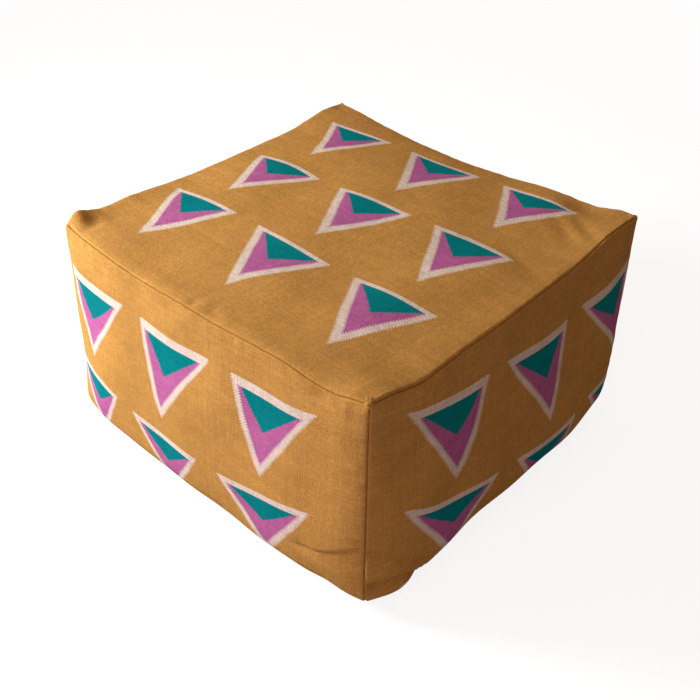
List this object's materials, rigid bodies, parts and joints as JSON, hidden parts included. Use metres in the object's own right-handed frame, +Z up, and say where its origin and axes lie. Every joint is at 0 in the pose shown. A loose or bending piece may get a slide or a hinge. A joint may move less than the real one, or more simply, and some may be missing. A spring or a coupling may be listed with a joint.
{
  "type": "pouf",
  "caption": "Square floor pouf with a flatwoven cotton cover of nested triangles, raised sewn corners and a zipped base over a bead-filled inner bag.",
  "frame": {"origin": "on the floor at the middle of the base", "axes": "+X to the pouf's right along the zip, +Y to its back, +Z up"},
  "size_m": [0.548, 0.548, 0.3196],
  "materials": {
    "cover_cloth": "matte",
    "base_cloth": "matte",
    "liner_cotton": "matte",
    "beads": "matte",
    "thread": "matte",
    "zip_tape": "matte",
    "zip_teeth": "satin",
    "zip_metal": "satin"
  },
  "bodies": {
    "pouf": {"top_panel": "cover_cloth", "front_panel": "cover_cloth", "right_panel": "cover_cloth", "back_panel": "cover_cloth", "left_panel": "cover_cloth", "base_panel_front": "base_cloth", "base_panel_back": "base_cloth", "liner_top": "liner_cotton", "liner_band": "liner_cotton", "liner_base": "liner_cotton", "bead_fill": "beads", "top_seam_thread": "thread", "corner_seam_thread": "thread", "base_seam_thread": "thread", "zip_seam_thread": "thread", "zip_tape_front": "zip_tape", "zip_tape_back": "zip_tape", "zip_teeth_front": "zip_teeth", "zip_teeth_back": "zip_teeth", "zip_bottom_stop": "zip_teeth", "zip_top_stops": "zip_teeth"},
    "slider": {"zip_slider": "zip_metal"},
    "pull": {"zip_pull": "zip_metal"}
  },
  "joints": [
    {"name": "zip_slide", "type": "slide", "parent": "pouf", "child": "slider", "axis": [-1, 0, 0], "range_m": [0, 0.39], "deforming": ["zip_teeth_front", "zip_teeth_back"]},
    {"name": "pull_hinge", "type": "hinge", "parent": "slider", "child": "pull", "pos_m": [0.198, 0, 0.0018], "axis": [0, -1, 0], "range_deg": [0, 180]}
  ]
}
